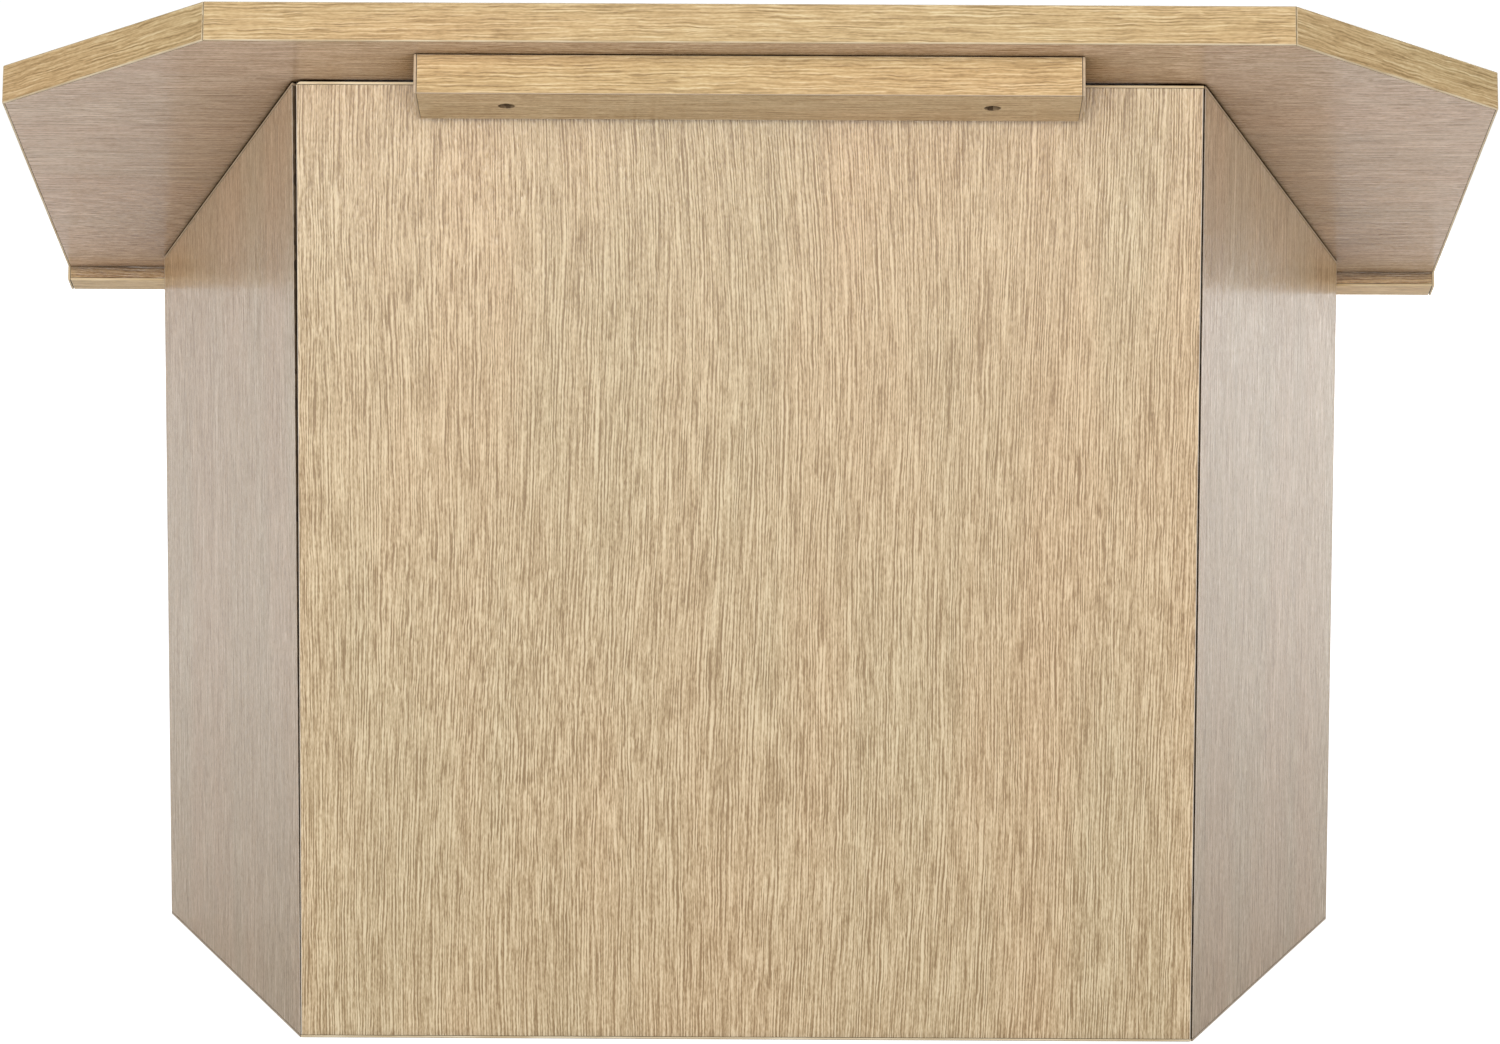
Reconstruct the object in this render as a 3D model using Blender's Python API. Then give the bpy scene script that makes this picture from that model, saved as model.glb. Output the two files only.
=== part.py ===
"""A table-top lectern of laminated board: a splayed, mitred base and a sloping top that lifts off.

Metres, +Z up. The audience is on the -Y side and the reader on the +Y side. The origin is the middle
of the whole object's outline in plan, on the surface that it stands on.
"""

import math

import bmesh
import bpy
from mathutils import Vector

# Stock sizes
BOARD = 0.016  # thickness of every laminated board
STRIP = 0.036  # width of the strip that the front cleat and the book stop are cut from
BAND = 0.001  # thickness of the edge banding
GLUE = 0.0002  # gap behind a glued band
CONTACT = 0.0003  # gap between pieces that are screwed together

# Base
FRONT_WIDTH = 0.3653  # outer width of the front panel
FRONT_HEIGHT = 0.3926  # height of the front panel's outer face
WING_WIDTH = 0.2669  # outer width of a wing, from the front corner to its rear edge
SPLAY = math.radians(16.65)  # turn of a wing away from square to the front panel
MITRE_GAPS = {"left": (0.0003, 0.0020), "right": (0.0009, 0.0009)}  # open mitres, at the foot and the top
EASED_CORNER = 0.0025  # radius on the front panel's upper left corner
BATTEN_WIDTH = 0.022  # side of the corner batten's rhombic section
BATTEN_FOOT = 0.020
BATTEN_TOP = 0.330
PANEL_SCREW_HEIGHTS = (0.070, 0.290)
WING_SCREW_HEIGHTS = (0.045, 0.265)

# Top, measured in the slope of its underside from the plane of the front panel's outer face
SLOPE = math.radians(20.6)
UNDERSIDE_HEIGHT = 0.3935  # height of the underside over the front panel's outer face
SEAT_GAP_REAR = 0.0004  # gap under the top at the wings' rear edges
TOP_WIDTH = 0.610
TOP_FRONT = -0.0532
TOP_REAR = 0.2928
CORNER_CUT = 0.0892  # length along each edge that the front corners' 45 degree cuts take off
CLEAT_LENGTH = 0.2664
CLEAT_FRONT = -0.0363
CLEAT_SCREW_X = 0.0969
CLEAT_SCREW_DEPTH = 0.005  # depth of the counterbore over each screw head
STOP_DROP = 0.0063  # drop of the book stop below the underside
STOP_SCREW_X = (-0.235, -0.080, 0.080, 0.235)
SIDE_CLEAT_START = 0.070
SIDE_CLEAT_LENGTH = 0.150
SIDE_CLEAT_GAP = 0.003  # plan distance from a wing's inner face to the side cleat
SIDE_CLEAT_SCREWS = (0.030, 0.120)  # distances along a side cleat

# Countersunk screws
SCREW_SIDES = 16
HEAD_RADIUS = 0.0031
HEAD_RIM = 0.0004  # height of the head's straight rim
HEAD_DEPTH = 0.0024  # height of the whole head
SHANK_RADIUS = 0.00175
TIP_LENGTH = 0.004
TIP_RADIUS = 0.0003
RECESS_REACH = 0.0019  # half length of each arm of the cross recess
RECESS_HALF_WIDTH = 0.0004
RECESS_DEPTH = 0.0013
SCREW_CLEARANCE = 0.0003
SHORT_SCREW = 0.022
BATTEN_SCREW = 0.032
STOP_SCREW = 0.034

# The wing's directions in plan, on the +X side
ALONG_WING = Vector((math.sin(SPLAY), math.cos(SPLAY)))
INTO_WING = Vector((-math.cos(SPLAY), math.sin(SPLAY)))
HALF_CORNER = (math.pi / 2 + SPLAY) / 2  # angle between either outer face and the mitre
MITRE = Vector((-math.cos(HALF_CORNER), math.sin(HALF_CORNER)))
ACROSS_MITRE = Vector((math.sin(HALF_CORNER), math.cos(HALF_CORNER)))
BATTEN_SHIFT = Vector((math.sin(HALF_CORNER - SPLAY) / math.cos(SPLAY), 0.0))  # for a mitre gap of 1
FRONT_CORNER = Vector((FRONT_WIDTH / 2, 0.0))

# The whole object's extent along Y, from the plane of the front panel's outer face
STOP_REAR = TOP_REAR + CONTACT + BOARD
LOWEST_Y = TOP_FRONT * math.cos(SLOPE)
HIGHEST_Y = STOP_REAR * math.cos(SLOPE) + (STRIP - STOP_DROP) * math.sin(SLOPE)
FRONT_FACE_Y = -(LOWEST_Y + HIGHEST_Y) / 2

SIDES = {"left": -1, "right": 1}


def clear_scene():
    for obj in list(bpy.data.objects):
        bpy.data.objects.remove(obj)


def make_material(name, colour, roughness, metallic=0.0):
    material = bpy.data.materials.new(name)
    material.use_nodes = True
    shader = material.node_tree.nodes["Principled BSDF"]
    shader.inputs["Base Color"].default_value = (*colour, 1.0)
    shader.inputs["Roughness"].default_value = roughness
    shader.inputs["Metallic"].default_value = metallic
    return material


def make_frame(name, location, turn_x=0.0):
    frame = bpy.data.objects.new(name, None)
    frame.location = location
    frame.rotation_euler = (turn_x, 0.0, 0.0)
    bpy.context.scene.collection.objects.link(frame)
    return frame


def add_object(name, mesh, parent, material):
    obj = bpy.data.objects.new(name, mesh)
    obj.parent = parent
    if not mesh.materials:
        mesh.materials.append(material)
    bpy.context.scene.collection.objects.link(obj)
    return obj


def add_cutter(name, mesh, parent):
    cutter = add_object(name, mesh, parent, None)
    cutter.hide_render = True
    cutter.display_type = "WIRE"
    return cutter


def cut(obj, cutter):
    modifier = obj.modifiers.new(cutter.name, "BOOLEAN")
    modifier.operation = "DIFFERENCE"
    modifier.object = cutter


def flat(height):
    return lambda y: height


def signed_area(outline):
    total = 0.0
    for (x0, y0), (x1, y1) in zip(outline, outline[1:] + outline[:1]):
        total += x0 * y1 - x1 * y0
    return total / 2


def walled_mesh(name, low_points, high_points):
    """A solid between a lower outline and an upper outline of as many points."""
    if signed_area([point[:2] for point in low_points]) < 0:
        low_points = low_points[::-1]
        high_points = high_points[::-1]
    shape = bmesh.new()
    low = [shape.verts.new(point) for point in low_points]
    high = [shape.verts.new(point) for point in high_points]
    shape.faces.new(low[::-1])
    shape.faces.new(high)
    for i in range(len(low)):
        j = (i + 1) % len(low)
        shape.faces.new((low[i], low[j], high[j], high[i]))
    mesh = bpy.data.meshes.new(name)
    shape.to_mesh(mesh)
    shape.free()
    return mesh


def prism_mesh(name, outline, bottom, top):
    """A solid over a plan outline, between two surfaces whose height depends on y."""
    low = [(x, y, bottom(y)) for x, y in outline]
    high = [(x, y, top(y)) for x, y in outline]
    return walled_mesh(name, low, high)


def prism(name, parent, outline, bottom, top, material):
    outline = [tuple(point) for point in outline]
    return add_object(name, prism_mesh(name, outline, bottom, top), parent, material)


def mirrored(outline, side):
    return [(SIDES[side] * x, y) for x, y in outline]


def inset(outline, distances):
    """The outline with each edge moved inwards by its own distance. The outline runs anticlockwise."""
    lines = []
    for i, distance in enumerate(distances):
        start = Vector(outline[i])
        along = (Vector(outline[(i + 1) % len(outline)]) - start).normalized()
        inwards = Vector((-along.y, along.x))
        lines.append((start + inwards * distance, along))
    moved = []
    for (point_a, along_a), (point_b, along_b) in zip(lines[-1:] + lines[:-1], lines):
        between = point_b - point_a
        reach = between.cross(along_b) / along_a.cross(along_b)
        moved.append(point_a + along_a * reach)
    return moved


def strip_along(outer_start, outer_end, inner_start, inner_end):
    """A band's outline between two outlines' edges, shortened so that it doesn't meet its neighbours."""
    ease = (outer_end - outer_start).normalized() * (GLUE / 2)
    return [outer_start + ease, outer_end - ease, inner_end - ease, inner_start + ease]


# Screws


def turned_mesh(name, profile):
    """A closed solid turned about the Z axis. The profile lists (radius, height) from the top down."""
    shape = bmesh.new()
    rings = []
    for radius, height in profile:
        ring = []
        for step in range(SCREW_SIDES):
            angle = math.tau * step / SCREW_SIDES
            ring.append(shape.verts.new((radius * math.cos(angle), radius * math.sin(angle), height)))
        rings.append(ring)
    shape.faces.new(rings[0])
    shape.faces.new(rings[-1][::-1])
    for upper, lower in zip(rings, rings[1:]):
        for i in range(SCREW_SIDES):
            j = (i + 1) % SCREW_SIDES
            shape.faces.new((lower[i], lower[j], upper[j], upper[i]))
    mesh = bpy.data.meshes.new(name)
    shape.to_mesh(mesh)
    shape.free()
    return mesh


def recess_outline():
    """A plus sign with arms of equal length."""
    corner = (RECESS_HALF_WIDTH, RECESS_HALF_WIDTH)
    arm = [(RECESS_REACH, -RECESS_HALF_WIDTH), (RECESS_REACH, RECESS_HALF_WIDTH), corner]
    outline = []
    for quarter in range(4):
        angle = quarter * math.pi / 2
        for x, y in arm:
            turned_x = x * math.cos(angle) - y * math.sin(angle)
            turned_y = x * math.sin(angle) + y * math.cos(angle)
            outline.append((turned_x, turned_y))
    return outline


def screw_mesh(length, material):
    """A countersunk screw with its head's face at the origin and its tip towards -Z."""
    profile = [
        (HEAD_RADIUS, 0.0),
        (HEAD_RADIUS, -HEAD_RIM),
        (SHANK_RADIUS, -HEAD_DEPTH),
        (SHANK_RADIUS, TIP_LENGTH - length),
        (TIP_RADIUS, -length),
    ]
    blank = add_object("screw_blank", turned_mesh("screw_blank", profile), None, material)
    recess = prism_mesh("recess", recess_outline(), flat(-RECESS_DEPTH), flat(HEAD_RIM))
    cutter = add_cutter("recess_cutter", recess, None)
    cut(blank, cutter)
    evaluated = blank.evaluated_get(bpy.context.evaluated_depsgraph_get())
    mesh = bpy.data.meshes.new_from_object(evaluated)
    bpy.data.objects.remove(blank)
    bpy.data.objects.remove(cutter)
    return mesh


def hole_mesh(length, counterbore):
    """The space for a screw, with clearance all round and a straight bore over its head."""
    profile = [
        (HEAD_RADIUS + SCREW_CLEARANCE, counterbore + HEAD_RIM),
        (HEAD_RADIUS + SCREW_CLEARANCE, -HEAD_RIM - SCREW_CLEARANCE),
        (SHANK_RADIUS + SCREW_CLEARANCE, -HEAD_DEPTH - SCREW_CLEARANCE),
        (SHANK_RADIUS + SCREW_CLEARANCE, -length - SCREW_CLEARANCE),
    ]
    return turned_mesh("screw_hole", profile)


def drive_screw(name, parent, mesh, length, head, direction, pieces, counterbore=0.0):
    """Puts a screw through pieces and cuts its hole in each of them."""
    turn = Vector(direction).to_track_quat("-Z", "Y").to_euler()
    screw = add_object(name, mesh, parent, None)
    cutter = add_cutter(name + "_hole", hole_mesh(length, counterbore), parent)
    for obj in (screw, cutter):
        obj.location = head
        obj.rotation_euler = turn
    for piece in pieces:
        cut(piece, cutter)


# Base


def underside(y):
    return UNDERSIDE_HEIGHT - y * math.tan(SLOPE)


def seat(y):
    """Height of the base's top edges, which the top rests on."""
    rear_y = WING_WIDTH * math.cos(SPLAY)
    gap_front = UNDERSIDE_HEIGHT - FRONT_HEIGHT
    return underside(y) - gap_front + (gap_front - SEAT_GAP_REAR) * y / rear_y


def below_seat(depth):
    """A surface at a depth under the seat, measured square to the seat."""
    return lambda y: seat(y) - depth / math.cos(SLOPE)


def mitre_gap(side, height):
    """The opening of a mitre at a height. The left wing leans away from the front panel."""
    foot, head = MITRE_GAPS[side]
    return foot + (head - foot) * height / FRONT_HEIGHT


def leaning_point(side, point, shift, surface):
    """Where a plan point comes to lie on a surface, once it has moved with the mitre's gap."""
    height = surface(point.y)
    settling_steps = 4
    for _ in range(settling_steps):
        moved = point + shift * mitre_gap(side, height)
        height = surface(moved.y)
    return (SIDES[side] * moved.x, moved.y, height)


def leaning_prism(name, side, frame, outline, shift, bottom, top, material):
    """A solid over an outline on the +X side, put on its own side and moved with the mitre's gap."""
    low = [leaning_point(side, point, shift, bottom) for point in outline]
    high = [leaning_point(side, point, shift, top) for point in outline]
    return add_object(name, walled_mesh(name, low, high), frame, material)


def front_outline():
    back_corner = FRONT_CORNER + MITRE * (BOARD / math.sin(HALF_CORNER))
    right = [tuple(FRONT_CORNER), tuple(back_corner)]
    return right + mirrored(right[::-1], "left")


def corner_cutter(frame):
    """Cuts the front panel's upper left corner to a small radius, seen from the front."""
    centre_x = EASED_CORNER - FRONT_WIDTH / 2
    centre_z = FRONT_HEIGHT - EASED_CORNER
    outside = 2 * EASED_CORNER
    outline = [(centre_x, centre_z + outside), (centre_x - outside, centre_z + outside)]
    outline.append((centre_x - outside, centre_z))
    arc_steps = 6
    for step in range(arc_steps + 1):
        angle = math.pi - step * math.pi / 2 / arc_steps
        x = centre_x + EASED_CORNER * math.cos(angle)
        outline.append((x, centre_z + EASED_CORNER * math.sin(angle)))
    mesh = prism_mesh("corner_cutter", outline, flat(-BOARD), flat(BAND))
    cutter = add_cutter("corner_cutter", mesh, frame)
    cutter.rotation_euler = (math.pi / 2, 0.0, 0.0)
    return cutter


def make_front_panel(frame, board, band):
    name = "front_panel"
    outline = front_outline()
    panel = prism(name, frame, outline, flat(BAND + GLUE), below_seat(BAND + GLUE), board)
    prism(name + "_bottom_band", frame, outline, flat(0.0), flat(BAND), band)
    top_band = prism(name + "_top_band", frame, outline, below_seat(BAND), seat, band)
    easing = corner_cutter(frame)
    cut(panel, easing)
    cut(top_band, easing)
    return panel


def make_wing(side, frame, board, band):
    name = side + "_wing"
    core_end = FRONT_CORNER + ALONG_WING * (WING_WIDTH - BAND - GLUE)
    mitre_end = FRONT_CORNER + MITRE * (BOARD / math.sin(HALF_CORNER))
    outline = [FRONT_CORNER, core_end, core_end + INTO_WING * BOARD, mitre_end]
    layers = [("", flat(BAND + GLUE), below_seat(BAND + GLUE), board)]
    layers.append(("_bottom_band", flat(0.0), flat(BAND), band))
    layers.append(("_top_band", below_seat(BAND), seat, band))
    pieces = []
    for suffix, bottom, top, material in layers:
        layer = leaning_prism(name + suffix, side, frame, outline, ACROSS_MITRE, bottom, top, material)
        pieces.append(layer)
    rear_end = FRONT_CORNER + ALONG_WING * WING_WIDTH
    rear_start = rear_end - ALONG_WING * BAND
    rear = [rear_start, rear_end, rear_end + INTO_WING * BOARD, rear_start + INTO_WING * BOARD]
    leaning_prism(name + "_rear_band", side, frame, rear, ACROSS_MITRE, flat(0.0), seat, band)
    return pieces[0]


def make_batten(side, frame, front_panel, wing, wood, screw):
    """A batten in an inside corner, screwed to the front panel and to the wing."""
    corner = FRONT_CORNER + MITRE * ((BOARD + CONTACT) / math.sin(HALF_CORNER))
    along_panel = Vector((-1.0, 0.0))
    panel_end = corner + along_panel * BATTEN_WIDTH
    wing_end = corner + ALONG_WING * BATTEN_WIDTH
    outline = [corner, wing_end, wing_end + along_panel * BATTEN_WIDTH, panel_end]
    name = side + "_corner_batten"
    foot = flat(BATTEN_FOOT)
    batten = leaning_prism(name, side, frame, outline, BATTEN_SHIFT, foot, flat(BATTEN_TOP), wood)
    over_panel = wing_end + along_panel * (BATTEN_WIDTH / 2)
    over_wing = panel_end + ALONG_WING * (BATTEN_WIDTH / 2)
    drives = [("panel", over_panel, Vector((0.0, -1.0)), PANEL_SCREW_HEIGHTS, front_panel)]
    drives.append(("wing", over_wing, -INTO_WING, WING_SCREW_HEIGHTS, wing))
    for label, place, direction, heights, panel in drives:
        for number, height in enumerate(heights, 1):
            head = leaning_point(side, place, BATTEN_SHIFT, flat(height))
            aim = (SIDES[side] * direction.x, direction.y, 0.0)
            screw_name = f"{side}_batten_{label}_screw_{number}"
            drive_screw(screw_name, frame, screw, BATTEN_SCREW, head, aim, (batten, panel))


def make_base(materials):
    frame = make_frame("base_frame", (0.0, FRONT_FACE_Y, 0.0))
    board = materials["board"]
    band = materials["band"]
    front_panel = make_front_panel(frame, board, band)
    screw = screw_mesh(BATTEN_SCREW, materials["steel"])
    for side in SIDES:
        wing = make_wing(side, frame, board, band)
        make_batten(side, frame, front_panel, wing, materials["softwood"], screw)


# Top


def make_top_board(frame, board, band):
    half = TOP_WIDTH / 2
    outline = [
        (CORNER_CUT - half, TOP_FRONT),
        (half - CORNER_CUT, TOP_FRONT),
        (half, TOP_FRONT + CORNER_CUT),
        (half, TOP_REAR),
        (-half, TOP_REAR),
        (-half, TOP_FRONT + CORNER_CUT),
    ]
    outline = [Vector(point) for point in outline]
    names = ["front", "right_corner", "right_side", "rear", "left_side", "left_corner"]
    behind_band = BAND + GLUE
    core = inset(outline, [0.0 if name == "rear" else behind_band for name in names])
    inner = inset(outline, [0.0 if name == "rear" else BAND for name in names])
    top_board = prism("top_board", frame, core, flat(0.0), flat(BOARD), board)
    for i, name in enumerate(names):
        if name == "rear":
            continue
        j = (i + 1) % len(outline)
        shape = strip_along(outline[i], outline[j], inner[i], inner[j])
        prism(f"top_{name}_band", frame, shape, flat(0.0), flat(BOARD), band)
    return top_board


def rectangle(x0, y0, x1, y1):
    return [(x0, y0), (x1, y0), (x1, y1), (x0, y1)]


def make_front_cleat(frame, top_board, board, band, screw):
    """The strip under the top that hooks over the front panel's outer face."""
    half = CLEAT_LENGTH / 2
    rear = CLEAT_FRONT + STRIP
    low = -CONTACT - BOARD
    core_half = half - BAND - GLUE
    core = rectangle(-core_half, CLEAT_FRONT + BAND + GLUE, core_half, rear)
    cleat = prism("front_cleat", frame, core, flat(low), flat(-CONTACT), board)
    face = rectangle(-core_half, CLEAT_FRONT, core_half, CLEAT_FRONT + BAND)
    prism("front_cleat_face_band", frame, face, flat(low), flat(-CONTACT), band)
    for side in SIDES:
        end = mirrored(rectangle(half - BAND, CLEAT_FRONT, half, rear), side)
        prism(f"front_cleat_{side}_band", frame, end, flat(low), flat(-CONTACT), band)
        head = (SIDES[side] * CLEAT_SCREW_X, CLEAT_FRONT + STRIP / 2, low + CLEAT_SCREW_DEPTH)
        pieces = (cleat, top_board)
        name = f"front_cleat_{side}_screw"
        up = (0.0, 0.0, 1.0)
        drive_screw(name, frame, screw, SHORT_SCREW, head, up, pieces, CLEAT_SCREW_DEPTH)


def make_book_stop(frame, top_board, board, band, screw):
    """The strip on the top's low edge that keeps papers from sliding off."""
    half = TOP_WIDTH / 2
    front = TOP_REAR + CONTACT
    rear = STOP_REAR
    low = -STOP_DROP
    high = STRIP - STOP_DROP
    core_half = half - BAND - GLUE
    long_strip = rectangle(-core_half, front, core_half, rear)
    inside_low = flat(low + BAND + GLUE)
    inside_high = flat(high - BAND - GLUE)
    stop = prism("book_stop", frame, long_strip, inside_low, inside_high, board)
    prism("book_stop_lower_band", frame, long_strip, flat(low), flat(low + BAND), band)
    prism("book_stop_upper_band", frame, long_strip, flat(high - BAND), flat(high), band)
    for side in SIDES:
        end = mirrored(rectangle(half - BAND, front, half, rear), side)
        prism(f"book_stop_{side}_band", frame, end, flat(low), flat(high), band)
    for number, x in enumerate(STOP_SCREW_X, 1):
        head = (x, rear, BOARD / 2)
        forward = (0.0, -1.0, 0.0)
        pieces = (stop, top_board)
        drive_screw(f"book_stop_screw_{number}", frame, screw, STOP_SCREW, head, forward, pieces)


def make_side_cleat(side, frame, top_board, wood, screw):
    """A strip under the top, just inside a wing, that keeps the top from sliding sideways."""
    stretch = 1 / math.cos(SLOPE)
    inner_face = FRONT_CORNER + INTO_WING * (BOARD + SIDE_CLEAT_GAP)
    origin = Vector((inner_face.x, inner_face.y * stretch))
    along = Vector((ALONG_WING.x, ALONG_WING.y * stretch)).normalized()
    inwards = Vector((-along.y, along.x))
    start = origin + along * (SIDE_CLEAT_START / along.y)
    end = start + along * SIDE_CLEAT_LENGTH
    outline = [start, end, end + inwards * BOARD, start + inwards * BOARD]
    name = side + "_side_cleat"
    low = -CONTACT - BOARD
    cleat = prism(name, frame, mirrored(outline, side), flat(low), flat(-CONTACT), wood)
    for number, distance in enumerate(SIDE_CLEAT_SCREWS, 1):
        place = start + along * distance + inwards * (BOARD / 2)
        head = (SIDES[side] * place.x, place.y, low)
        pieces = (cleat, top_board)
        up = (0.0, 0.0, 1.0)
        drive_screw(f"{name}_screw_{number}", frame, screw, SHORT_SCREW, head, up, pieces)


def make_top(materials):
    frame = make_frame("top_frame", (0.0, FRONT_FACE_Y, UNDERSIDE_HEIGHT), -SLOPE)
    board = materials["board"]
    band = materials["band"]
    short_screw = screw_mesh(SHORT_SCREW, materials["steel"])
    stop_screw = screw_mesh(STOP_SCREW, materials["steel"])
    top_board = make_top_board(frame, board, band)
    make_front_cleat(frame, top_board, board, band, short_screw)
    make_book_stop(frame, top_board, board, band, stop_screw)
    for side in SIDES:
        make_side_cleat(side, frame, top_board, materials["softwood"], short_screw)


clear_scene()
MATERIALS = {
    "board": make_material("oak_laminate", (0.62, 0.47, 0.30), 0.45),
    "band": make_material("oak_edge_band", (0.60, 0.42, 0.20), 0.50),
    "softwood": make_material("planed_softwood", (0.66, 0.47, 0.26), 0.70),
    "steel": make_material("blackened_steel", (0.10, 0.09, 0.08), 0.40, 1.0),
}
make_base(MATERIALS)
make_top(MATERIALS)
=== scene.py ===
import math

import bmesh
import bpy
from mathutils import Matrix, Vector


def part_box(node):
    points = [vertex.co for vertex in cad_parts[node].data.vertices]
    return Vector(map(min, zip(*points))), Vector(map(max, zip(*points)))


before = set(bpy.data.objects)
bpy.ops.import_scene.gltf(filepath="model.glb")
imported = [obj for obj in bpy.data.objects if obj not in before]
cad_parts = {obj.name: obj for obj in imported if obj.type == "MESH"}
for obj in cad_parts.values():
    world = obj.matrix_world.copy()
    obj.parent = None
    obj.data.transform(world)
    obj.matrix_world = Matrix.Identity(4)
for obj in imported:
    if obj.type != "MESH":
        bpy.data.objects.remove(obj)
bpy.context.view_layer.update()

MM = 0.001

# Directions, in the frame's axes
UP = Vector((0, 0, 1))
FRONT_FACE_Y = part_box("front_panel")[0].y

# Camera, placed from the foot of the front panel's outer face
CAMERA_PLACE = Vector((0.00886, -2.5908, 0.57335))
CAMERA_PITCH = math.radians(7.885)
CAMERA_YAW = math.radians(0.177)
CAMERA_ROLL = math.radians(0.2437)
CAMERA_LENS = 154.64
SENSOR_WIDTH = 36.0

# Light. The floor that the camera sees lights nothing. Under it, a plane that the camera doesn't see
# glows in rings, stronger behind the object and to its right, and gives the boards their reflections
LIGHT_TARGET = (0, 0, 0.25)
WORLD_STRENGTH = 0.30
KEY_PLACE = (-0.3, -3.2, 0.80)
KEY_SIZE = (3.0, 1.35)
KEY_POWER = 66
REAR_PLACE = (0.9, 3.0, 1.35)
REAR_SIZE = (2.6, 1.2)
REAR_POWER = 75
FLOOR_HALF = 30.0
BACKDROP_RADIUS = 28.0
BACKDROP_HEIGHT = 40.0
BACKDROP_SIDES = 64

# The glow by distance, in metres, from a point just behind the object
GLOW_CENTRE = (0, 0.25, 0)
GLOW_STRETCH = (1, 0.7, 0)
GLOW_REACH = 5.0
GLOW = [(0.25, 0.50), (0.45, 0.60), (0.75, 0.84), (1.5, 0.95), (2.4, 1.20), (2.75, 0.10)]

# Edges: how far each kind is eased
BAND_EASE = 0.4 * MM
THIN_BAND_EASE = 0.2 * MM
PANEL_EASE = 0.45 * MM
WING_EASE = 0.15 * MM
SOFTWOOD_EASE = 0.8 * MM
ROUND_SEGMENTS = 2
WELD_REACH = 0.01 * MM
FLAT = math.radians(1)  # faces that turn less than this are one flat side
SHARP = math.radians(30)  # sides that turn more than this meet at an edge
ALIGNED = 0.99  # cosine over which two directions count as the same

# How the nodes divide into kinds
SOFTWOOD_WORDS = ("batten", "side_cleat")
UPRIGHT_BOARDS = ("front_panel", "left_wing", "right_wing")
THIN_BAND_WORDS = ("wing", "cleat")
BOARD_LOOKS = {"left_wing": "wing", "right_wing": "wing", "top_board": "top", "book_stop": "stop"}

# Oak print, linear colours from the darkest pore line to the palest grain
OAK = [
    (0.00, (0.345, 0.228, 0.117)),
    (0.20, (0.460, 0.324, 0.182)),
    (0.45, (0.590, 0.440, 0.267)),
    (0.70, (0.715, 0.553, 0.356)),
    (1.00, (0.860, 0.700, 0.478)),
]
BAND_OAK = [
    (0.00, (0.410, 0.265, 0.115)),
    (0.22, (0.535, 0.360, 0.170)),
    (0.48, (0.680, 0.475, 0.238)),
    (0.75, (0.800, 0.592, 0.318)),
    (1.00, (0.920, 0.735, 0.445)),
]
PINE = [
    (0.00, (0.430, 0.240, 0.090)),
    (0.30, (0.620, 0.410, 0.190)),
    (0.60, (0.740, 0.540, 0.300)),
    (1.00, (0.810, 0.640, 0.400)),
]

# Each board's tints of its print, in warm patches and elsewhere. The warm patches are the print's own; the
# tints that differ from board to board are painted light, fitted to how light falls on each board
PANEL_TINTS = ((1.025, 0.98, 0.94), (0.98, 1.0, 0.98))
WING_TINTS = ((1.055, 0.965, 0.94), (1.01, 0.985, 0.98))
TOP_TINTS = ((1.095, 1.015, 1.11), (1.04, 1.025, 1.14))

# How far each kind of place is darkened by painted shade: the tint in sheltered places, then the levels that
# are left in inside corners and in narrow joints. This is painted shade, standing in for part of the shade
# between boards
AO_SAMPLES = 6
SHELTER_REACH = 70 * MM
SHELTER_RANGE = (0.50, 0.95)  # openness at which the tint is full, and at which it is gone
CORNER_REACH = 8 * MM
CORNER_RANGE = (0.40, 0.85)
CREVICE_REACH = 3 * MM
CREVICE_RANGE = (0.25, 0.66)
FOOT_HEIGHTS = (0.10, 0.20)  # no shelter tint below the first height, because the floor isn't shelter
DUSK = (0.04, 0.015, 0.0, 1)
WHITE = (1, 1, 1, 1)
PLAIN = ((0.84, 0.78, 0.69), 0.62, 0.04)
WING_SHADE = ((1.00, 0.96, 0.88), 0.95, 0.40)
BAND_SHADE = ((1.00, 0.98, 0.95), 0.62, 0.04)
TOP_SHADE = ((0.56, 0.48, 0.34), 0.62, 0.03)
STOP_SHADE = ((0.72, 0.62, 0.50), 0.14, 0.03)


# Node helpers

def add_node(tree, kind, inputs=None, **settings):
    node = tree.nodes.new(kind)
    for name, value in settings.items():
        setattr(node, name, value)
    for key, value in (inputs or {}).items():
        if isinstance(value, bpy.types.NodeSocket):
            tree.links.new(value, node.inputs[key])
        else:
            node.inputs[key].default_value = value
    return node


def maths(tree, operation, a, b=0.0, clamp=False):
    node = add_node(tree, "ShaderNodeMath", {0: a, 1: b}, operation=operation, use_clamp=clamp)
    return node.outputs[0]


def vector_maths(tree, operation, a, b):
    return add_node(tree, "ShaderNodeVectorMath", {0: a, 1: b}, operation=operation).outputs[0]


def stretched_noise(tree, place, scale, detail=2.0, roughness=0.5, output=0):
    """Noise whose scale, per metre, differs along the three axes."""
    scaled = vector_maths(tree, "MULTIPLY", place, scale)
    settings = {"Vector": scaled, "Scale": 1.0, "Detail": detail, "Roughness": roughness}
    return add_node(tree, "ShaderNodeTexNoise", settings).outputs[output]


def centred(tree, value, weight):
    """A noise value moved to swing about zero, times a weight."""
    return maths(tree, "MULTIPLY", maths(tree, "SUBTRACT", value, 0.5), weight)


def remap(tree, value, low, high, new_low, new_high, smooth=False):
    kind = "SMOOTHSTEP" if smooth else "LINEAR"
    inputs = {"Value": value, "From Min": low, "From Max": high, "To Min": new_low, "To Max": new_high}
    return add_node(tree, "ShaderNodeMapRange", inputs, interpolation_type=kind).outputs["Result"]


def mix_colour(tree, factor, a, b, blend="MIX"):
    node = add_node(tree, "ShaderNodeMix", data_type="RGBA", blend_type=blend)
    for socket, value in ((0, factor), (6, a), (7, b)):
        if isinstance(value, bpy.types.NodeSocket):
            tree.links.new(value, node.inputs[socket])
        else:
            node.inputs[socket].default_value = value
    return node.outputs[2]


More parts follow.
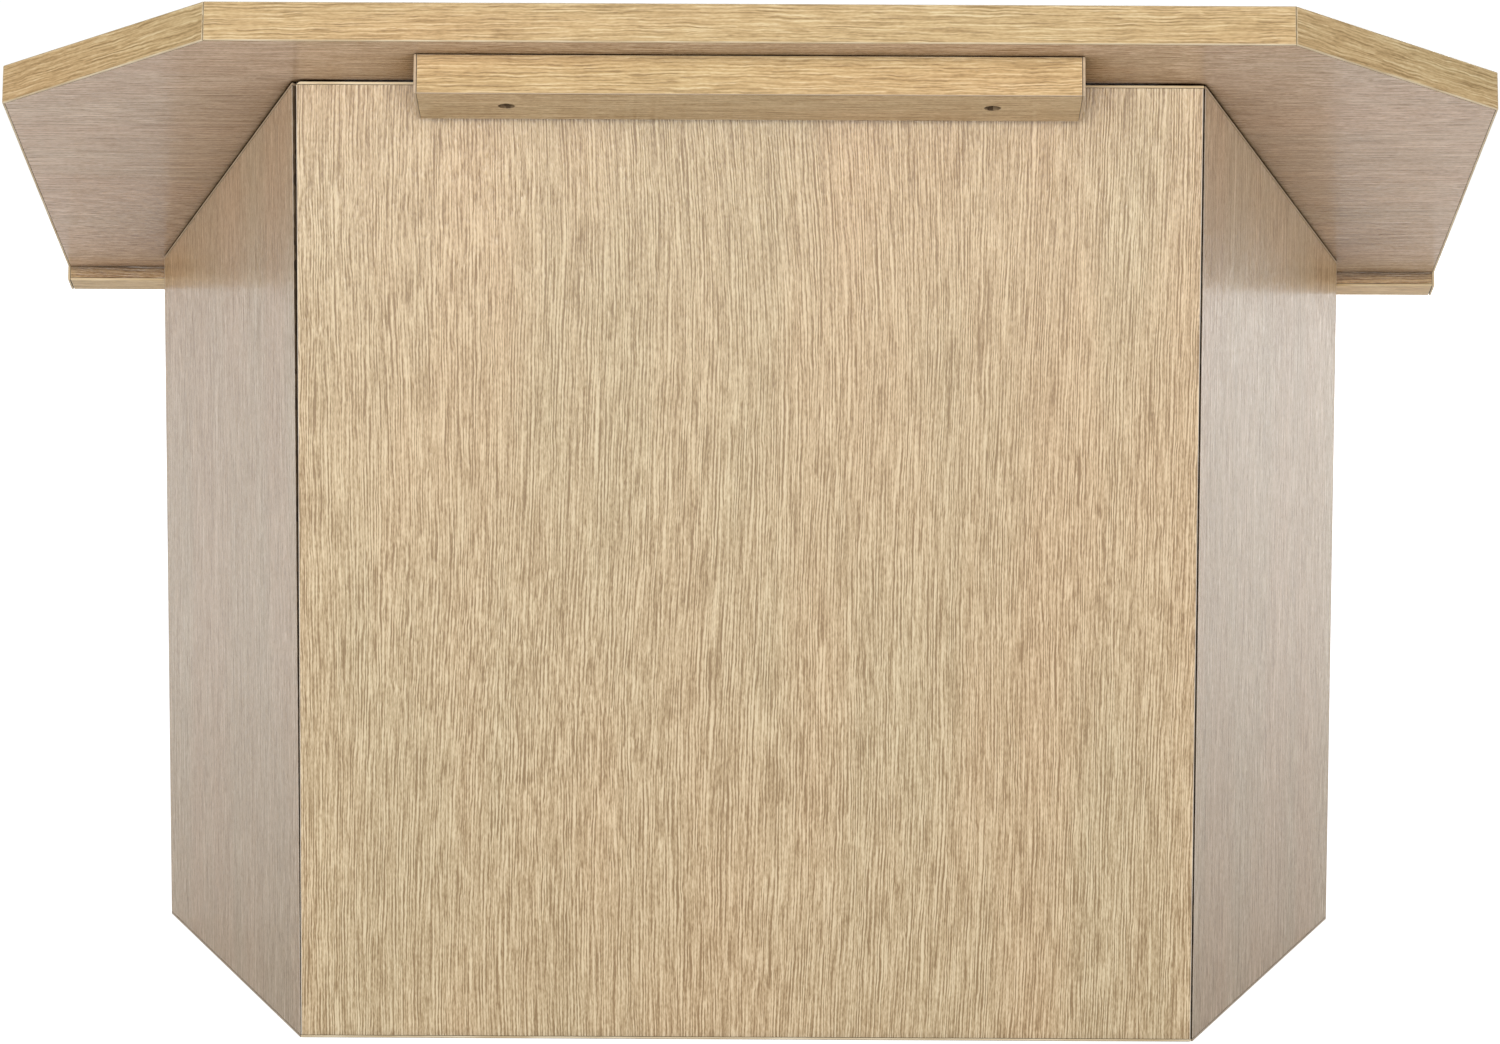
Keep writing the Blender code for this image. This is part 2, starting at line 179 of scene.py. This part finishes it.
def colour_ramp(tree, value, stops):
    node = add_node(tree, "ShaderNodeValToRGB", {0: value})
    elements = node.color_ramp.elements
    while len(elements) < len(stops):
        elements.new(0.5)
    for element, (place, colour) in zip(elements, stops):
        element.position = place
        element.color = (*colour, 1)
    return node.outputs[0]


def new_material(name):
    material = bpy.data.materials.new(name)
    material.use_nodes = True
    return material, material.node_tree, material.node_tree.nodes["Principled BSDF"]


def grain_place(tree):
    return add_node(tree, "ShaderNodeAttribute", attribute_name="grain").outputs["Vector"]


def add_bump(tree, shader, height, distance, strength):
    inputs = {"Height": height, "Distance": distance, "Strength": strength}
    bump = add_node(tree, "ShaderNodeBump", inputs)
    tree.links.new(bump.outputs[0], shader.inputs["Normal"])


# Materials. Grain runs along z of the "grain" attribute

def wood_value(tree, place, drift, wave, layers, ripple=None):
    """One number, from 0 in the darkest lines to 1 in the palest, and the bent place it was read at."""
    slow = stretched_noise(tree, place, (5, 5, 2.6), 1.0, 0.5, 1)
    slow = vector_maths(tree, "MULTIPLY", vector_maths(tree, "SUBTRACT", slow, (0.5, 0.5, 0.5)), drift)
    quick = stretched_noise(tree, place, (130, 130, 75), 2.0, 0.5, 1)
    quick = vector_maths(tree, "MULTIPLY", vector_maths(tree, "SUBTRACT", quick, (0.5, 0.5, 0.5)), wave)
    bent = vector_maths(tree, "ADD", vector_maths(tree, "ADD", place, slow), quick)
    total = 0.5
    for scale, detail, roughness, weight in layers:
        part = centred(tree, stretched_noise(tree, bent, scale, detail, roughness), weight)
        total = maths(tree, "ADD", part, total)
    if ripple:
        spacing, wander, weight = ripple
        across = add_node(tree, "ShaderNodeSeparateXYZ", {0: bent}).outputs["X"]
        phase = maths(tree, "MULTIPLY", across, 2 * math.pi / spacing)
        shift = centred(tree, stretched_noise(tree, bent, (170, 170, 7), 2.0, 0.5), wander)
        line = maths(tree, "SINE", maths(tree, "ADD", phase, shift))
        strength = remap(tree, stretched_noise(tree, bent, (330, 330, 24), 1.0, 0.5), 0.35, 0.65, 0.1, weight)
        total = maths(tree, "ADD", total, maths(tree, "MULTIPLY", line, strength))
    return total, bent


def oak_material(name, stops, layers, ripple, pore_scale, drift, wave, roughness, tints, shade=PLAIN):
    material, tree, shader = new_material(name)
    place = grain_place(tree)
    value, bent = wood_value(tree, place, drift, wave, layers, ripple)
    pores = stretched_noise(tree, bent, pore_scale, 1.0, 0.5)
    pores = remap(tree, pores, 0.60, 0.72, 0.0, 1.0)
    colour = colour_ramp(tree, maths(tree, "SUBTRACT", value, maths(tree, "MULTIPLY", pores, 0.22)), stops)
    warmth = stretched_noise(tree, bent, (24, 24, 4), 2.0, 0.5)
    pink = mix_colour(tree, remap(tree, warmth, 0.35, 0.65, 0.0, 1.0), (*tints[0], 1), (*tints[1], 1))
    # painted shade: the print is darkened in sheltered places, inside corners and narrow joints
    colour = painted_shade(tree, mix_colour(tree, 1.0, colour, pink, "MULTIPLY"), shade)
    tree.links.new(colour, shader.inputs["Base Color"])
    gloss = remap(tree, value, 0.1, 0.9, roughness + 0.10, roughness - 0.04)
    tree.links.new(gloss, shader.inputs["Roughness"])
    height = maths(tree, "SUBTRACT", value, pores)
    add_bump(tree, shader, height, 0.15 * MM, 0.35)
    return material


def openness(tree, reach):
    """From 1 in the open to 0 where everything within reach is closed in."""
    inputs = {"Distance": reach}
    return add_node(tree, "ShaderNodeAmbientOcclusion", inputs, samples=AO_SAMPLES).outputs["AO"]


def painted_shade(tree, colour, shade=PLAIN):
    """The colour with painted shade: warmer in sheltered places, browner in inside corners, nearly black in
    narrow joints.
    """
    sheltered, corner, crevice = shade
    place = add_node(tree, "ShaderNodeTexCoord").outputs["Object"]
    height = add_node(tree, "ShaderNodeSeparateXYZ", {0: place}).outputs["Z"]
    near_floor = remap(tree, height, *FOOT_HEIGHTS, 1.0, 0.0)
    unsheltered = remap(tree, openness(tree, SHELTER_REACH), *SHELTER_RANGE, 0.0, 1.0)
    in_open = maths(tree, "MAXIMUM", unsheltered, near_floor)
    warmth = mix_colour(tree, in_open, (*sheltered, 1), WHITE)
    colour = mix_colour(tree, 1.0, colour, warmth, "MULTIPLY")
    soft = remap(tree, openness(tree, CORNER_REACH), *CORNER_RANGE, corner, 1.0, smooth=True)
    deep = remap(tree, openness(tree, CREVICE_REACH), *CREVICE_RANGE, crevice, 1.0, smooth=True)
    light = maths(tree, "MULTIPLY", soft, deep)
    dusk = mix_colour(tree, light, DUSK, WHITE)
    return mix_colour(tree, 1.0, colour, dusk, "MULTIPLY")


def make_board_face(name="oak", tints=PANEL_TINTS, shade=PLAIN):
    layers = [
        ((13, 13, 1.6), 2.0, 0.5, 0.12),
        ((90, 90, 5), 2.0, 0.5, 0.14),
        ((420, 420, 11), 1.0, 0.5, 0.25),
        ((1900, 1900, 34), 1.0, 0.5, 2.10),
        ((1900, 1900, 480), 1.0, 0.5, 1.10),
    ]
    ripple = (1.25 * MM, 30.0, 0.46)
    pores = (1300, 1300, 90)
    drift = (0.030,) * 3
    wave = (0.0012,) * 3
    return oak_material(name, OAK, layers, ripple, pores, drift, wave, 0.17, tints, shade)


def make_band_face():
    layers = [
        ((30, 30, 4), 2.0, 0.5, 0.20),
        ((240, 240, 14), 2.0, 0.5, 0.25),
        ((1600, 1600, 40), 1.0, 0.5, 1.60),
        ((1900, 1900, 420), 1.0, 0.5, 0.60),
    ]
    ripple = (1.5 * MM, 26.0, 0.24)
    tints = ((1.03, 0.975, 0.94), (0.98, 1.0, 0.98))
    pores = (1300, 1300, 60)
    drift = (0.010,) * 3
    wave = (0.0018,) * 3
    return oak_material("oak band", BAND_OAK, layers, ripple, pores, drift, wave, 0.34, tints, BAND_SHADE)


def make_band_edge(name, dark, pale):
    """The side and the eased edge of a band, as the trimmer left it, with painted shade; on the thick bands
    its paler colours are also a painted highlight along the rounded rim.
    """
    material, tree, shader = new_material(name)
    place = grain_place(tree)
    patches = stretched_noise(tree, place, (400, 400, 40), 2.0, 0.6)
    # painted shade darkens the band's edge in sheltered places, corners and joints
    colour = painted_shade(tree, colour_ramp(tree, patches, [(0.35, dark), (0.65, pale)]), WING_SHADE)
    tree.links.new(colour, shader.inputs["Base Color"])
    shader.inputs["Roughness"].default_value = 0.5
    return material


def make_board_edge():
    """The laminate's own cut edge, paler than its print, and paler still as a painted highlight along the
    eased upright edges.
    """
    material, tree, shader = new_material("laminate edge")
    place = grain_place(tree)
    patches = stretched_noise(tree, place, (300, 300, 60), 3.0, 0.6)
    colour = colour_ramp(tree, patches, [(0.30, (0.62, 0.50, 0.37)), (0.60, (0.88, 0.80, 0.68))])
    tree.links.new(colour, shader.inputs["Base Color"])
    shader.inputs["Roughness"].default_value = 0.5
    return material


def make_core():
    """Chipboard, as it shows on the mitred faces and in the screw holes."""
    material, tree, shader = new_material("chipboard")
    place = grain_place(tree)
    scaled = vector_maths(tree, "MULTIPLY", place, (420, 420, 260))
    chips = add_node(tree, "ShaderNodeTexVoronoi", {"Vector": scaled, "Scale": 1.0, "Randomness": 1.0})
    tone = add_node(tree, "ShaderNodeSeparateColor", {0: chips.outputs["Color"]}).outputs[0]
    stops = [(0.0, (0.16, 0.10, 0.05)), (0.4, (0.36, 0.25, 0.14)), (0.8, (0.52, 0.39, 0.24))]
    # painted shade: the chipboard is darkened deep in mitre gaps and screw holes
    colour = painted_shade(tree, colour_ramp(tree, tone, stops))
    tree.links.new(colour, shader.inputs["Base Color"])
    shader.inputs["Roughness"].default_value = 0.85
    add_bump(tree, shader, chips.outputs["Distance"], 0.4 * MM, 0.6)
    return material


def make_pine():
    material, tree, shader = new_material("softwood")
    layers = [
        ((40, 40, 2), 2.0, 0.5, 0.8),
        ((190, 190, 5), 2.0, 0.5, 1.3),
        ((800, 800, 30), 2.0, 0.6, 0.5),
    ]
    place = grain_place(tree)
    value, _ = wood_value(tree, place, (0.02,) * 3, (0.002,) * 3, layers)
    colour = colour_ramp(tree, value, PINE)
    tree.links.new(colour, shader.inputs["Base Color"])
    tree.links.new(remap(tree, value, 0.0, 1.0, 0.75, 0.55), shader.inputs["Roughness"])
    add_bump(tree, shader, value, 0.2 * MM, 0.5)
    return material


def make_screw():
    """Blackened steel, rubbed through in places."""
    material, tree, shader = new_material("blackened steel")
    place = grain_place(tree)
    rubs = stretched_noise(tree, place, (900, 900, 900), 3.0, 0.6)
    wear = remap(tree, rubs, 0.56, 0.68, 0.0, 1.0)
    colour = mix_colour(tree, wear, (0.045, 0.042, 0.040, 1), (0.42, 0.40, 0.38, 1))
    tree.links.new(colour, shader.inputs["Base Color"])
    shader.inputs["Metallic"].default_value = 1.0
    tree.links.new(remap(tree, rubs, 0.3, 0.7, 0.30, 0.50), shader.inputs["Roughness"])
    return material


# CAD nodes: grain direction, faces by material, eased edges

def longest_edge(mesh):
    """The direction of the longest edge between two sides, which is no seam within a flat side."""
    meeting = normals_at_edges(mesh)
    sharp = [edge for edge in mesh.edges if is_sharp(meeting[edge_key(mesh, edge)])]
    best = max(sharp, key=lambda edge: edge_vector(mesh, edge).length)
    return edge_vector(mesh, best).normalized()


def is_sharp(normals):
    return any(normals[0].dot(other) < math.cos(SHARP) for other in normals)


def edge_vector(mesh, edge):
    first, second = edge.vertices
    return mesh.vertices[second].co - mesh.vertices[first].co


def broad_normal(mesh):
    """The normal of the broadest flat side."""
    areas = {}
    for face in mesh.polygons:
        key = tuple(round(part, 2) for part in face.normal)
        areas[key] = areas.get(key, 0) + face.area
    return Vector(max(areas, key=areas.get)).normalized()


def write_grain(mesh, along, thickness, shift):
    """Stores each vertex's place with z along the grain and y through the board."""
    across = thickness.cross(along).normalized()
    attribute = mesh.attributes.new("grain", "FLOAT_VECTOR", "POINT")
    for vertex, item in zip(mesh.vertices, attribute.data):
        co = vertex.co
        item.vector = Vector((co.dot(across), co.dot(thickness), co.dot(along))) + shift


def edge_key(mesh, edge):
    ends = [tuple(round(part * 1e5) for part in mesh.vertices[i].co) for i in edge.vertices]
    return tuple(sorted(ends))


def normals_at_edges(mesh):
    """For each edge place, the normals of the faces that meet there, even where the mesh is split."""
    found = {}
    for face in mesh.polygons:
        for loop in face.loop_indices:
            key = edge_key(mesh, mesh.edges[mesh.loops[loop].edge_index])
            found.setdefault(key, []).append(face.normal.copy())
    return found


def ease_edges(node, width, material_index, wanted):
    """Rounds the edges that wanted(edge direction, normals) picks, and gives the round a material."""
    mesh = node.data
    weights = mesh.attributes.new("bevel_weight_edge", "FLOAT", "EDGE")
    meeting = normals_at_edges(mesh)
    for edge in mesh.edges:
        normals = meeting[edge_key(mesh, edge)]
        if is_sharp(normals) and wanted(edge_vector(mesh, edge).normalized(), normals):
            weights.data[edge.index].value = 1.0
    weld = node.modifiers.new("weld", "WELD")
    weld.merge_threshold = WELD_REACH
    joined = node.modifiers.new("joined", "DECIMATE")
    joined.decimate_type = "DISSOLVE"
    joined.angle_limit = FLAT
    bevel = node.modifiers.new("eased", "BEVEL")
    bevel.limit_method = "WEIGHT"
    bevel.width = width
    bevel.segments = ROUND_SEGMENTS
    bevel.use_clamp_overlap = False
    bevel.material = material_index


def kind_of(name):
    if "screw" in name:
        return "screw"
    if any(word in name for word in SOFTWOOD_WORDS):
        return "softwood"
    return "band" if name.endswith("band") else "board"


def glued_to(name):
    """The board a band is glued to: the one with the longest name that the band's name begins with."""
    if name.startswith("top_"):
        return "top_board"
    owners = ("front_panel", "left_wing", "right_wing", "front_cleat", "book_stop")
    return next(owner for owner in owners if name.startswith(owner))


def centre(name):
    low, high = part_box(name)
    return (low + high) / 2


def dress(name, node, looks, shift):
    mesh = node.data
    mesh.shade_flat()
    if "custom_normal" in mesh.attributes:
        mesh.attributes.remove(mesh.attributes["custom_normal"])
    along = UP if name in UPRIGHT_BOARDS else longest_edge(mesh)
    thickness = broad_normal(mesh)
    if abs(thickness.dot(along)) > 0.9:
        thickness = along.orthogonal().normalized()
    write_grain(mesh, along, thickness, shift)
    mesh.materials.clear()
    kind = kind_of(name)
    if kind == "board":
        dress_board(name, node, looks, thickness)
    elif kind == "band":
        dress_band(name, node, looks, thickness)
    elif kind == "softwood":
        mesh.materials.append(looks["softwood"])
        ease_edges(node, SOFTWOOD_EASE, 0, lambda direction, normals: True)
    else:
        mesh.materials.append(looks["screw"])


def split_faces(mesh, materials, thickness):
    """The first material on the two broad sides, the second on the rest."""
    for material in materials:
        mesh.materials.append(material)
    for face in mesh.polygons:
        face.material_index = 0 if abs(face.normal.dot(thickness)) > ALIGNED else 1


def dress_board(name, node, looks, thickness):
    face_look = looks[BOARD_LOOKS.get(name, "face")]
    split_faces(node.data, (face_look, looks["core"], looks["edge"]), thickness)
    if name not in UPRIGHT_BOARDS:
        return

    def upright(direction, normals):
        return abs(direction.dot(UP)) > ALIGNED and (name == "front_panel" or is_mitre(normals))
    ease_edges(node, PANEL_EASE if name == "front_panel" else WING_EASE, 2, upright)


def dress_band(name, node, looks, thickness):
    thin = any(word in name for word in THIN_BAND_WORDS)
    split_faces(node.data, (looks["band"], looks["rubbed" if thin else "scraped_highlit"]), thickness)
    outward = thickness
    if outward.dot(centre(name) - centre(glued_to(name))) < 0:
        outward = -outward

    def rim(direction, normals):
        return any(normal.dot(outward) > ALIGNED for normal in normals)
    ease_edges(node, THIN_BAND_EASE if thin else BAND_EASE, 1, rim)


def is_mitre(normals):
    """Whether an edge of a wing is at its mitre, not at its rear."""
    return any(abs(normal.x) < 0.95 and normal.y < 0 and abs(normal.z) < 0.1 for normal in normals)


def make_camera():
    data = bpy.data.cameras.new("camera")
    data.lens = CAMERA_LENS
    data.sensor_width = SENSOR_WIDTH
    data.clip_start = 0.1
    data.clip_end = 100.0
    camera = bpy.data.objects.new("camera", data)
    place = Matrix.Translation(CAMERA_PLACE + Vector((0, FRONT_FACE_Y, 0)))
    turn = Matrix.Rotation(CAMERA_YAW, 4, "Z") @ Matrix.Rotation(math.pi / 2 - CAMERA_PITCH, 4, "X")
    camera.matrix_world = place @ turn @ Matrix.Rotation(CAMERA_ROLL, 4, "Z")
    bpy.context.scene.collection.objects.link(camera)
    bpy.context.scene.camera = camera


def make_plane(name, height, material):
    shape = bmesh.new()
    bmesh.ops.create_grid(shape, x_segments=1, y_segments=1, size=FLOOR_HALF)
    mesh = bpy.data.meshes.new(name)
    shape.to_mesh(mesh)
    shape.free()
    plane = bpy.data.objects.new(name, mesh)
    plane.location.z = height
    bpy.context.scene.collection.objects.link(plane)
    mesh.materials.append(material)
    return plane


def seen_by_camera_only(obj):
    obj.visible_diffuse = False
    obj.visible_glossy = False
    obj.visible_shadow = False


def make_backdrop():
    """A white wall all round, far off, so that a low view has no horizon."""
    material, _, shader = new_material("backdrop")
    shader.inputs["Base Color"].default_value = (0, 0, 0, 1)
    shader.inputs["Specular IOR Level"].default_value = 0.0
    shader.inputs["Emission Color"].default_value = (1, 1, 1, 1)
    shader.inputs["Emission Strength"].default_value = 1.0
    shape = bmesh.new()
    size = {"radius1": BACKDROP_RADIUS, "radius2": BACKDROP_RADIUS, "depth": BACKDROP_HEIGHT}
    bmesh.ops.create_cone(shape, cap_ends=False, segments=BACKDROP_SIDES, **size)
    mesh = bpy.data.meshes.new("backdrop")
    shape.to_mesh(mesh)
    shape.free()
    mesh.materials.append(material)
    wall = bpy.data.objects.new("backdrop", mesh)
    bpy.context.scene.collection.objects.link(wall)
    seen_by_camera_only(wall)


def make_floor():
    material, _, shader = new_material("floor")
    shader.inputs["Base Color"].default_value = (0.45, 0.45, 0.45, 1)
    shader.inputs["Roughness"].default_value = 0.9
    shader.inputs["Specular IOR Level"].default_value = 0.0
    shader.inputs["Emission Color"].default_value = (1, 1, 1, 1)
    shader.inputs["Emission Strength"].default_value = 0.92
    floor = make_plane("floor", 0, material)
    seen_by_camera_only(floor)
    material, tree, shader = new_material("bounce")
    place = add_node(tree, "ShaderNodeTexCoord").outputs["Object"]
    flat = vector_maths(tree, "MULTIPLY", vector_maths(tree, "SUBTRACT", place, GLOW_CENTRE), GLOW_STRETCH)
    distance = add_node(tree, "ShaderNodeVectorMath", {0: flat}, operation="LENGTH").outputs["Value"]
    stops = [(metres / GLOW_REACH, (level / 2, level / 2, level / 2)) for metres, level in GLOW]
    ring = colour_ramp(tree, maths(tree, "DIVIDE", distance, GLOW_REACH), stops)
    parts = add_node(tree, "ShaderNodeSeparateXYZ", {0: place})
    behind = remap(tree, parts.outputs["Y"], -0.3, 0.3, 1.15, 1.85)
    rightward = remap(tree, parts.outputs["X"], 0.2, 1.6, 1.0, 1.25)
    leftward = remap(tree, parts.outputs["X"], -0.4, -1.6, 1.0, 0.80)
    sides = maths(tree, "MULTIPLY", rightward, leftward)
    glow = maths(tree, "MULTIPLY", ring, maths(tree, "MULTIPLY", behind, sides))
    shader.inputs["Base Color"].default_value = (0.18, 0.18, 0.18, 1)
    shader.inputs["Roughness"].default_value = 0.9
    shader.inputs["Emission Color"].default_value = (1, 1, 1, 1)
    tree.links.new(glow, shader.inputs["Emission Strength"])
    bounce = make_plane("bounce", -1 * MM, material)
    bounce.visible_camera = False


def area_light(name, place, size, power):
    data = bpy.data.lights.new(name, "AREA")
    data.shape = "RECTANGLE"
    data.size, data.size_y = size
    data.energy = power
    light = bpy.data.objects.new(name, data)
    light.location = place
    light.rotation_euler = (Vector(LIGHT_TARGET) - Vector(place)).to_track_quat("-Z", "Y").to_euler()
    bpy.context.scene.collection.objects.link(light)


def make_light():
    world = bpy.data.worlds.new("studio")
    world.use_nodes = True
    background = world.node_tree.nodes["Background"]
    background.inputs["Color"].default_value = (1, 1, 1, 1)
    background.inputs["Strength"].default_value = WORLD_STRENGTH
    bpy.context.scene.world = world
    area_light("key", KEY_PLACE, KEY_SIZE, KEY_POWER)
    area_light("rear fill", REAR_PLACE, REAR_SIZE, REAR_POWER)
    bpy.context.scene.view_settings.view_transform = "Standard"


def main():
    make_camera()
    make_floor()
    make_backdrop()
    make_light()
    looks = {
        "face": make_board_face(),
        # the wings, the top and the book stop are copies of the oak print whose tints and shade levels differ
        # as painted light and painted shade
        "wing": make_board_face("oak, wings", WING_TINTS, WING_SHADE),
        "top": make_board_face("oak, top", TOP_TINTS, TOP_SHADE),
        "stop": make_board_face("oak, book stop", PANEL_TINTS, STOP_SHADE),
        "band": make_band_face(),
        # the thick bands' paler edge colours are a painted highlight along the rounded rim
        "scraped_highlit": make_band_edge("oak band, scraped", (0.62, 0.47, 0.27), (0.84, 0.71, 0.50)),
        "rubbed": make_band_edge("oak band, rubbed", (0.56, 0.43, 0.29), (0.70, 0.55, 0.39)),
        "edge": make_board_edge(),
        "core": make_core(),
        "softwood": make_pine(),
        "screw": make_screw(),
    }
    for index, (name, node) in enumerate(sorted(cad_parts.items())):
        dress(name, node, looks, Vector((0.37, 0.61, 0.83)) * index)


main()
